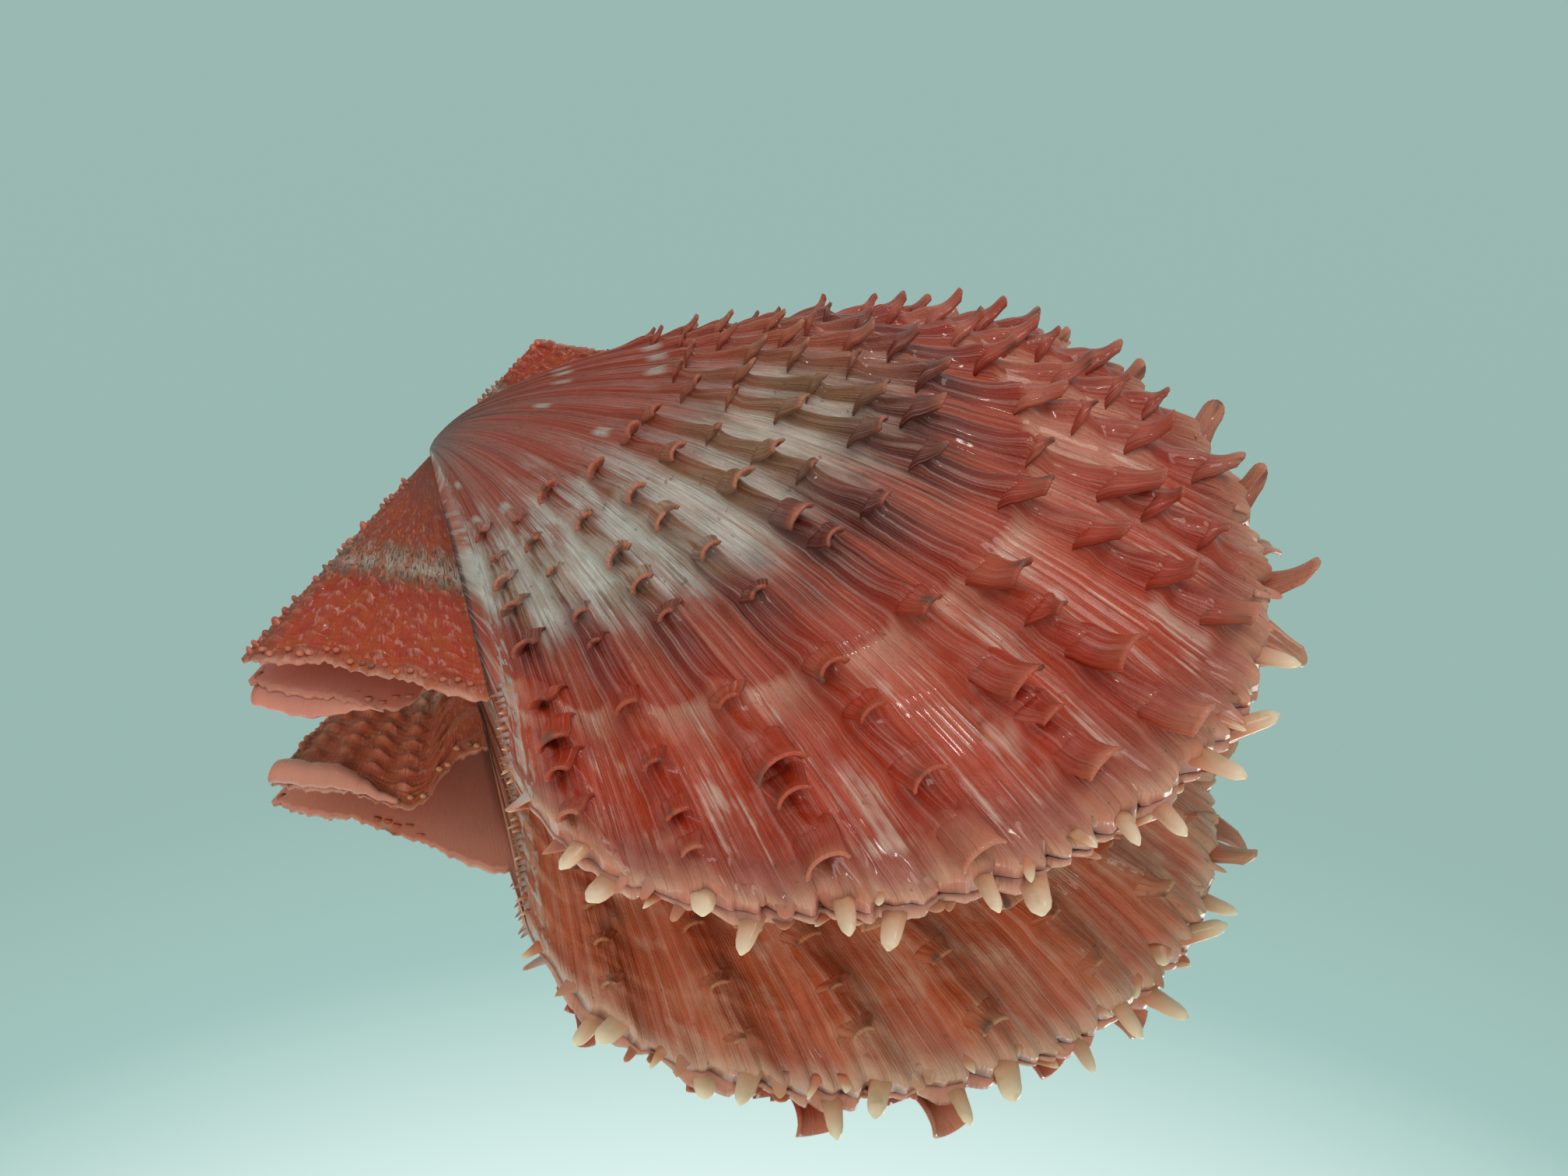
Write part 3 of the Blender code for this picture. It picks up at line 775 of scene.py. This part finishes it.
EAR_STAGES = (
    (0.0, (0.27, 0.11, 0.09)), (0.12, (0.4, 0.1, 0.07)), (0.3, (0.42, 0.075, 0.045)),
    (0.43, (0.4, 0.08, 0.045)), (0.48, (0.44, 0.24, 0.18)), (0.55, (0.6, 0.46, 0.38)),
    (0.6, (0.3, 0.16, 0.1)), (0.635, (0.42, 0.045, 0.022)), (0.74, (0.54, 0.07, 0.03)),
    (0.88, (0.54, 0.06, 0.02)), (0.96, (0.5, 0.07, 0.03)), (0.985, (0.54, 0.14, 0.09)),
    (1.0, (0.64, 0.3, 0.22)),
)
INNER_STAGES = ((0.0, (0.56, 0.32, 0.28)), (0.7, (0.56, 0.18, 0.13)), (1.0, (0.6, 0.22, 0.16)))
SPINE_STAGES = (
    (0.0, (0.48, 0.1, 0.05)), (0.45, (0.56, 0.2, 0.11)), (0.72, (0.68, 0.42, 0.28)),
    (1.0, (0.8, 0.64, 0.48)),
)
LIGAMENT_TONES = ((0.3, (0.02, 0.017, 0.013)), (0.55, (0.05, 0.045, 0.035)), (0.75, (0.13, 0.11, 0.08)))

# How strongly the light lines show, by stage of growth.
LEFT_LINES = (
    (0.0, 0.05), (0.2, 0.25), (0.56, 0.25), (0.62, 0.42), (0.735, 0.3), (0.76, 0.22), (0.93, 0.25),
    (1.0, 0.1),
)
RIGHT_LINES = ((0.0, 0.1), (0.3, 0.3), (1.0, 0.25))

# Paints of single marks, as linear values. The tints darken what is below.
BROWN = (0.2, 0.095, 0.04)
MAROON = (0.12, 0.022, 0.016)
WHITE = (0.84, 0.8, 0.75)
EARLY_WHITE = (0.78, 0.66, 0.6)
SPOT_WHITE = (0.62, 0.54, 0.48)
CORAL = (0.5, 0.075, 0.035)
PINK = (0.76, 0.36, 0.26)
PALE_PINK = (0.78, 0.5, 0.4)
RIGHT_PALE = (0.62, 0.27, 0.17)
RIGHT_BLOTCH = (0.66, 0.36, 0.25)
LIGHT_LINE = (0.7, 0.42, 0.35)
DARK_LINE_TINT = (0.45, 0.1, 0.06)
MOTTLE_TINT = (0.62, 0.34, 0.3)
LATE_TINT = (1.0, 0.88, 0.74)
EAR_ORANGE = (0.52, 0.085, 0.014)
EAR_RED = (0.46, 0.03, 0.022)
EAR_BEAD = (0.66, 0.23, 0.16)
EAR_FLECK = (0.68, 0.28, 0.22)
EAR_DIRT = (0.1, 0.065, 0.04)
EAR_EDGE_DIRT = (0.2, 0.09, 0.04)
RIGHT_EAR_COLOUR = (0.7, 0.21, 0.12)
HINGE_DIRT = (0.17, 0.075, 0.045)
# Painted shade: a near-black line in the crease at the foot of the wall between ear and disc.
SEAM_SHADE = (0.09, 0.045, 0.04)
SEAM_CRUST = (0.56, 0.48, 0.44)
DIRT = (0.14, 0.06, 0.04)
SMOKE = (0.13, 0.065, 0.045)
STAIN = (0.46, 0.33, 0.17)

# Where the marks lie: first and last stage of growth, and how soft the borders are.
BROWN_ZONE = (0.37, 0.585, 0.03)
MAROON_ZONE = (0.55, 0.68, 0.03)
WHITE_ZONE = (0.35, 0.585, 0.05)
EARLY_ZONE = (0.26, 0.42, 0.05)
BACK_CORAL_ZONE = (0.34, 0.6, 0.05)
PINK_ZONE = (0.752, 0.9, 0.012)
PALE_PINK_ZONE = (0.748, 0.96, 0.008)
EAR_RED_ZONE = (0.58, 0.95, 0.04)
EAR_DIRT_ZONE = (0.44, 0.62, 0.02)
EAR_EDGE_ZONE = (0.955, 0.985, 0.008)
SPOTS = (0.195, 0.315)

# The same between two turns, which are plan angles in tens of degrees.
MAROON_SECTOR = (-2.2, 2.6, 0.6)
# The seam sector holds painted shade, in the crease where the ear meets the disc.
SEAM_SHADE_SECTOR = (-4.8, -4.766, 0.002)
CRUST_SECTOR = (-4.765, -4.6, 0.03)

SHELL_FINISH = {
    "Subsurface Radius": (1.0, 0.35, 0.22), "Subsurface Scale": 0.0009, "Coat Roughness": 0.07,
    "Specular IOR Level": 0.22,
}

# Noises: how often they change across and along the ribs, their detail and their seed.
PATTERNS = {
    "wander": (2.4, 2.5, 4.0, 3.0), "feather": (20.0, 3.0, 3.0, 4.0), "streak": (26.0, 2.5, 3.0, 1.0),
    "striae": (75.0, 5.0, 2.0, 8.0), "patch": (2.4, 9.0, 3.0, 7.0), "blotch": (3.5, 13.0, 3.0, 12.0),
    "fleck": (22.0, 34.0, 2.0, 5.0), "ear_fleck": (9.0, 26.0, 3.0, 15.0), "smoke": (5.0, 11.0, 1.0, 9.0),
    "grain": (60.0, 200.0, 3.0, 2.0),
}


def new_material(name):
    material = bpy.data.materials.new(name)
    material.use_nodes = True
    return material, material.node_tree, material.node_tree.nodes["Principled BSDF"]


def connect(tree, value, socket):
    """Sets a number or a colour on a socket, or links another node's output to it."""
    if isinstance(value, (int, float)):
        socket.default_value = value
    elif isinstance(value, tuple):
        socket.default_value = (*value, 1.0)
    else:
        tree.links.new(value, socket)


def attribute(tree, name):
    """A value that the mesh carries. One node serves all that ask for it."""
    if name not in tree.nodes:
        node = tree.nodes.new("ShaderNodeAttribute")
        node.name = name
        node.attribute_name = name
    return tree.nodes[name].outputs["Fac"]


def maths(tree, operation, values):
    result = values[0]
    for value in values[1:]:
        node = tree.nodes.new("ShaderNodeMath")
        node.operation = operation
        connect(tree, result, node.inputs[0])
        connect(tree, value, node.inputs[1])
        result = node.outputs[0]
    return result


def times(tree, *values):
    return maths(tree, "MULTIPLY", values)


def plus(tree, *values):
    return maths(tree, "ADD", values)


def minus(tree, *values):
    return maths(tree, "SUBTRACT", values)


def span(tree, value, low, high, start=0.0, end=1.0):
    """Smoothly maps low..high to start..end."""
    node = tree.nodes.new("ShaderNodeMapRange")
    node.interpolation_type = "SMOOTHSTEP"
    for index, number in enumerate((value, low, high, start, end)):
        connect(tree, number, node.inputs[index])
    return node.outputs[0]


def band(tree, value, low, high, soft):
    """1 between low and high, 0 outside."""
    rise = span(tree, value, low - soft, low + soft)
    return times(tree, rise, span(tree, value, high - soft, high + soft, 1.0, 0.0))


def ramp(tree, value, stops):
    node = tree.nodes.new("ShaderNodeValToRGB")
    elements = node.color_ramp.elements
    while len(elements) > 1:
        elements.remove(elements[-1])
    elements[0].position = stops[0][0]
    elements[0].color = (*stops[0][1], 1.0)
    for place, colour in stops[1:]:
        elements.new(place).color = (*colour, 1.0)
    tree.links.new(value, node.inputs[0])
    return node.outputs["Color"]


def mixed(tree, amount, first, second, blend="MIX"):
    node = tree.nodes.new("ShaderNodeMix")
    node.data_type = "RGBA"
    node.blend_type = blend
    for index, value in ((0, amount), (6, first), (7, second)):
        connect(tree, value, node.inputs[index])
    return node.outputs[2]


def painted(tree, colour, *layers):
    """The colour with layers of paint over it, each an amount and a paint."""
    for amount, paint in layers:
        colour = mixed(tree, amount, colour, paint)
    return colour


def noise(tree, place, scale, detail):
    node = tree.nodes.new("ShaderNodeTexNoise")
    node.inputs["Scale"].default_value = scale
    node.inputs["Detail"].default_value = detail
    tree.links.new(place, node.inputs["Vector"])
    return node.outputs["Fac"]


def growth_noise(tree, across, along, detail, seed):
    """Noise in the shell's own growth coordinates, so that marks follow the ribs and growth lines."""
    vector = tree.nodes.new("ShaderNodeCombineXYZ")
    coordinates = (
        times(tree, attribute(tree, "turn"), across), times(tree, attribute(tree, "growth"), along), seed,
    )
    for value, socket in zip(coordinates, vector.inputs):
        connect(tree, value, socket)
    return noise(tree, vector.outputs[0], 1.0, detail)


def fine_noise(tree, scale, detail=2.0):
    """Noise in space, for dirt and grain that don't follow the growth."""
    place = tree.nodes.new("ShaderNodeNewGeometry")
    return noise(tree, place.outputs["Position"], scale, detail)


def pattern(tree, **shares):
    """A weighted sum of noises of PATTERNS. One node serves all that ask for the same."""
    parts = []
    for name, share in shares.items():
        if name not in tree.nodes:
            growth_noise(tree, *PATTERNS[name]).node.name = name
        output = tree.nodes[name].outputs["Fac"]
        parts.append(output if share == 1.0 else times(tree, output, share))
    return plus(tree, *parts)


def add_bump(tree, shader, height, strength, distance):
    node = tree.nodes.new("ShaderNodeBump")
    node.inputs["Strength"].default_value = strength
    node.inputs["Distance"].default_value = distance
    tree.links.new(height, node.inputs["Height"])
    tree.links.new(node.outputs["Normal"], shader.inputs["Normal"])


def shell_finish(shader, subsurface, coat):
    for name, value in {"Subsurface Weight": subsurface, "Coat Weight": coat, **SHELL_FINISH}.items():
        shader.inputs[name].default_value = value


def wandering_growth(tree):
    """Growth with feathered borders between the stages, which are sharper from the growth stop on."""
    growth = attribute(tree, "growth")
    drift = minus(tree, pattern(tree, wander=0.6, feather=0.4), 0.5)
    reach = minus(tree, 0.3, times(tree, span(tree, growth, 0.6, 0.7), 0.265))
    return plus(tree, growth, times(tree, drift, reach))


def left_marks(tree, colour, on_rib):
    """Brown, maroon, white and pink marks of the left valve. The back half is less white and more coral."""
    growth, turn = attribute(tree, "growth"), attribute(tree, "turn")
    off_rib = minus(tree, 1.0, times(tree, on_rib, 0.8))
    plume = pattern(tree, streak=0.5, blotch=0.5)
    brown = times(
        tree, band(tree, growth, *BROWN_ZONE), span(tree, pattern(tree, patch=1.0, streak=0.5), 0.66, 0.86),
        plus(tree, 0.35, times(tree, span(tree, turn, -1.2, 0.8), 0.25)),
    )
    maroon = times(
        tree, band(tree, growth, *MAROON_ZONE), band(tree, turn, *MAROON_SECTOR),
        span(tree, pattern(tree, patch=1.0, streak=0.7), 0.72, 1.0), 0.8,
    )
    near_rib = times(tree, on_rib, span(tree, turn, -3.0, -1.0, 0.62, 0.85))
    white = times(
        tree, band(tree, growth, *WHITE_ZONE), span(tree, plume, 0.43, 0.55), minus(tree, 1.0, near_rib),
        span(tree, turn, -2.6, -0.2, 1.0, 0.15),
    )
    early = times(
        tree, band(tree, growth, *EARLY_ZONE), span(tree, plume, 0.48, 0.6), off_rib,
        span(tree, turn, -2.6, -1.2, 0.75, 0.1),
    )
    back_coral = times(tree, band(tree, growth, *BACK_CORAL_ZONE), span(tree, turn, 0.9, 2.6, 0.0, 0.7))
    colour = painted(
        tree, colour, (brown, BROWN), (maroon, MAROON), (white, WHITE), (early, EARLY_WHITE),
        (back_coral, CORAL),
    )
    colour = mixed(tree, span(tree, growth, 0.6, 0.66), colour, LATE_TINT, "MULTIPLY")
    pink = times(tree, band(tree, growth, *PINK_ZONE), span(tree, turn, 0.4, 1.6, 0.0, 0.6), off_rib)
    pale_pink = times(tree, band(tree, growth, *PALE_PINK_ZONE), span(tree, plume, 0.5, 0.61), off_rib, 0.75)
    colour = painted(tree, colour, (pink, PINK), (pale_pink, PALE_PINK))
    for place in SPOTS:
        chosen = span(tree, growth_noise(tree, 1.1, 1.0, 0.0, place * 40.0), 0.46, 0.54)
        ring = band(tree, growth, place - 0.01, place + 0.012, 0.008)
        spot = times(tree, ring, span(tree, attribute(tree, "crest"), 0.55, 0.8), chosen, 0.8)
        colour = mixed(tree, spot, colour, SPOT_WHITE)
    return colour


def right_marks(tree, colour, on_rib):
    """Pale streaks and blotches of the right valve."""
    pale = times(tree, span(tree, pattern(tree, patch=1.0, streak=0.5), 0.72, 0.95), 0.6)
    off_rib = minus(tree, 1.0, times(tree, on_rib, 0.7))
    blotched = times(tree, span(tree, pattern(tree, blotch=1.0), 0.52, 0.64), off_rib, 0.45)
    return painted(tree, colour, (pale, RIGHT_PALE), (blotched, RIGHT_BLOTCH))


def lined(tree, colour, lines):
    """Fine light and dark lines along the riblets, and a mottle over all."""
    strength = ramp(tree, attribute(tree, "growth"), [(place, (level,) * 3) for place, level in lines])
    riblets = plus(tree, times(tree, attribute(tree, "thread"), 0.35), pattern(tree, striae=1.0))
    colour = mixed(tree, times(tree, span(tree, riblets, 0.66, 0.92), strength), colour, LIGHT_LINE)
    dark = times(tree, span(tree, riblets, 0.62, 0.4), 0.38)
    colour = mixed(tree, dark, colour, DARK_LINE_TINT, "MULTIPLY")
    mottle = span(tree, pattern(tree, fleck=1.0), 0.3, 0.7, 0.0, 0.3)
    return mixed(tree, mottle, colour, MOTTLE_TINT, "MULTIPLY")


def ear_colours(tree, side):
    growth, turn = attribute(tree, "growth"), attribute(tree, "turn")
    flecks = pattern(tree, fleck=1.0)
    shift = times(tree, minus(tree, flecks, 0.5), span(tree, growth, 0.88, 0.95, 0.1, 0.01))
    colour = ramp(tree, plus(tree, growth, shift), EAR_STAGES)
    orange = times(tree, span(tree, pattern(tree, patch=1.0), 0.45, 0.6), 0.65)
    blotches = span(tree, pattern(tree, blotch=1.0), 0.5, 0.64)
    red = times(tree, blotches, band(tree, growth, *EAR_RED_ZONE), 0.55)
    on_bead = span(tree, attribute(tree, "crest"), 0.35, 0.95)
    bead = times(tree, on_bead, span(tree, flecks, 0.38, 0.62, 0.15, 0.75))
    fleck = times(tree, span(tree, pattern(tree, ear_fleck=1.0), 0.56, 0.66), 0.7)
    dirt = times(tree, span(tree, flecks, 0.52, 0.38), band(tree, growth, *EAR_DIRT_ZONE), 0.85)
    edge_dirt = times(tree, band(tree, growth, *EAR_EDGE_ZONE), span(tree, flecks, 0.48, 0.6), 0.6)
    colour = painted(
        tree, colour, (orange, EAR_ORANGE), (red, EAR_RED), (bead, EAR_BEAD), (fleck, EAR_FLECK),
        (dirt, EAR_DIRT), (edge_dirt, EAR_EDGE_DIRT),
    )
    if side == RIGHT:
        colour = mixed(tree, 0.4, colour, RIGHT_EAR_COLOUR)
    hinge_dirt = times(tree, span(tree, turn, -8.3, -8.9), span(tree, flecks, 0.4, 0.58, 0.1, 0.75))
    return mixed(tree, hinge_dirt, colour, HINGE_DIRT)


def valve_material(name, side):
    material, tree, shader = new_material(name)
    growth, turn = attribute(tree, "growth"), attribute(tree, "turn")
    inside, tip = attribute(tree, "inside"), attribute(tree, "tip")
    stage = wandering_growth(tree)
    uneven = times(tree, minus(tree, pattern(tree, streak=1.0), 0.5), 0.8)
    on_rib = span(tree, plus(tree, attribute(tree, "crest"), uneven), 0.15, 0.7)
    if side == LEFT:
        between, on_ribs, marks = LEFT_BETWEEN, LEFT_ON_RIBS, left_marks
        lines, tips = LEFT_LINES, LEFT_TIPS
    else:
        between, on_ribs, marks = RIGHT_BETWEEN, RIGHT_ON_RIBS, right_marks
        lines, tips = RIGHT_LINES, RIGHT_TIPS
    colour = mixed(tree, on_rib, ramp(tree, stage, between), ramp(tree, stage, on_ribs))
    colour = lined(tree, marks(tree, colour, on_rib), lines)
    flecks = pattern(tree, fleck=1.0)
    # Painted shade: a dark line in the crease where the ear meets the disc.
    seam_shade = times(tree, band(tree, turn, *SEAM_SHADE_SECTOR), span(tree, growth, 0.16, 0.3), 0.85)
    crust = times(tree, band(tree, turn, *CRUST_SECTOR), span(tree, flecks, 0.5, 0.6), 0.8)
    dirt = times(tree, span(tree, fine_noise(tree, 1900.0), 0.66, 0.74), 0.45)
    smoky = span(tree, pattern(tree, smoke=1.0), 0.56, 0.64)
    colour = painted(
        tree, colour, (attribute(tree, "ear"), ear_colours(tree, side)), (seam_shade, SEAM_SHADE),
        (crust, SEAM_CRUST), (dirt, DIRT), (inside, ramp(tree, growth, INNER_STAGES)),
        (span(tree, tip, 0.25, 1.0, 0.0, 0.8), ramp(tree, growth, tips)),
        (times(tree, smoky, span(tree, tip, 0.2, 0.9, 0.0, 0.75)), SMOKE),
    )
    tree.links.new(colour, shader.inputs["Base Color"])
    tree.links.new(span(tree, flecks, 0.3, 0.72, 0.22, 0.46), shader.inputs["Roughness"])
    outside = minus(tree, 1.0, times(tree, inside, 0.85))
    add_bump(tree, shader, times(tree, pattern(tree, striae=1.2, grain=0.7), outside), 0.8, 0.00016)
    shell_finish(shader, 0.14, 0.3)
    return material


def ivory_material(name):
    material, tree, shader = new_material(name)
    stain = times(tree, span(tree, fine_noise(tree, 900.0), 0.52, 0.7), 0.5)
    colour = mixed(tree, stain, ramp(tree, attribute(tree, "tip"), SPINE_STAGES), STAIN)
    tree.links.new(colour, shader.inputs["Base Color"])
    tree.links.new(span(tree, fine_noise(tree, 1500.0), 0.3, 0.7, 0.25, 0.42), shader.inputs["Roughness"])
    add_bump(tree, shader, fine_noise(tree, 2200.0, 3.0), 0.3, 0.0001)
    shell_finish(shader, 0.35, 0.25)
    return material


def ligament_material():
    material, tree, shader = new_material("ligament_horn")
    grain = fine_noise(tree, 1600.0, 4.0)
    tree.links.new(ramp(tree, grain, LIGAMENT_TONES), shader.inputs["Base Color"])
    shader.inputs["Roughness"].default_value = 0.62
    add_bump(tree, shader, grain, 0.6, 0.0003)
    return material


def make_valve(side, name, node):
    rng = np.random.default_rng(11 if side == LEFT else 23)
    word = "left" if side == LEFT else "right"
    shell = valve_shell(side)
    if side == RIGHT:
        add_ear_roll(shell, side)
    material = valve_material(word + "_valve_shell", side)
    body = shell.build(name, [material])
    growths = Mesh()
    for add_kind in (add_scales, add_rim_spines, add_margin_teeth, add_front_teeth, add_ear_points):
        add_kind(growths, side, rng)
    scales = growths.build(word + "_scales", [material, ivory_material(word + "_ivory")])
    for piece in (body, scales):
        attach(piece, "root")
        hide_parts(node)


def make_camera():
    aim = POSE @ Vector((0, 0, 0))
    aim.z = 0.0
    aim += DISC_HEIGHT * Vector(CAMERA_AIM)
    elevation = math.radians(CAMERA_ELEVATION)
    back = Vector(heading(CAMERA_AZIMUTH - 90.0)) * math.cos(elevation)
    back.z = math.sin(elevation)
    data = bpy.data.cameras.new("camera")
    data.sensor_width = SENSOR_WIDTH
    data.lens = SENSOR_WIDTH * CAMERA_FOCAL_PIXELS / PHOTO_WIDTH
    data.clip_start = 0.005
    data.clip_end = 20.0
    camera = new_object("camera", data)
    camera.rotation_mode = "QUATERNION"
    camera.location = aim + back * DISC_HEIGHT * CAMERA_DISTANCE
    roll = Quaternion((0.0, 0.0, 1.0), math.radians(CAMERA_ROLL))
    camera.rotation_quaternion = (-back).to_track_quat("-Z", "Y") @ roll
    bpy.context.scene.camera = camera


def make_floor():
    """A plain pale mirror-like floor, in which the underside of the shell shows."""
    bpy.ops.mesh.primitive_plane_add(size=FLOOR_SIZE)
    floor = bpy.context.object
    floor.name = "floor"
    floor.location.z = -FLOOR_DROP
    material, _, shader = new_material("floor_pale_gloss")
    shader.inputs["Base Color"].default_value = FLOOR_COLOUR
    shader.inputs["Metallic"].default_value = 1.0
    shader.inputs["Roughness"].default_value = 0.02
    floor.data.materials.append(material)
    floor.visible_shadow = False


def add_softbox(name, place, size, power, colour, mirrored):
    """A round light that faces the shell. Its mirror image under the floor lights the underside."""
    spots = [Vector(place)]
    if mirrored:
        spots.append(Vector((place[0], place[1], -place[2])))
    for number, spot in enumerate(spots):
        data = bpy.data.lights.new(name, "AREA")
        data.shape = "DISK"
        data.size = size
        data.energy = power * (1.0 if number == 0 else MIRRORED_SHARE)
        data.color = colour
        light = new_object(name, data)
        light.location = spot
        light.rotation_mode = "QUATERNION"
        light.rotation_quaternion = (-spot).to_track_quat("-Z", "Y")
        light.visible_camera = False
        light.visible_glossy = number == 0 and not mirrored


def make_light():
    """A soft dome, blue-green at its sides and white overhead, and softboxes."""
    world = bpy.data.worlds.new("studio")
    world.use_nodes = True
    tree = world.node_tree
    place = tree.nodes.new("ShaderNodeTexCoord")
    parts = tree.nodes.new("ShaderNodeSeparateXYZ")
    tree.links.new(place.outputs["Generated"], parts.inputs[0])
    tree.links.new(ramp(tree, parts.outputs["Z"], SKY_STOPS), tree.nodes["Background"].inputs["Color"])
    bpy.context.scene.world = world
    for softbox in SOFTBOXES:
        add_softbox(*softbox)


bpy.context.scene.view_settings.view_transform = "Standard"
make_camera()
make_valve(LEFT, "left_shell", "left_valve")
make_valve(RIGHT, "right_shell", "right_valve")
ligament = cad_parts["hinge_ligament"]
ligament_look = ligament_material()
for slot in ligament.material_slots:
    slot.material = ligament_look
make_floor()
make_light()
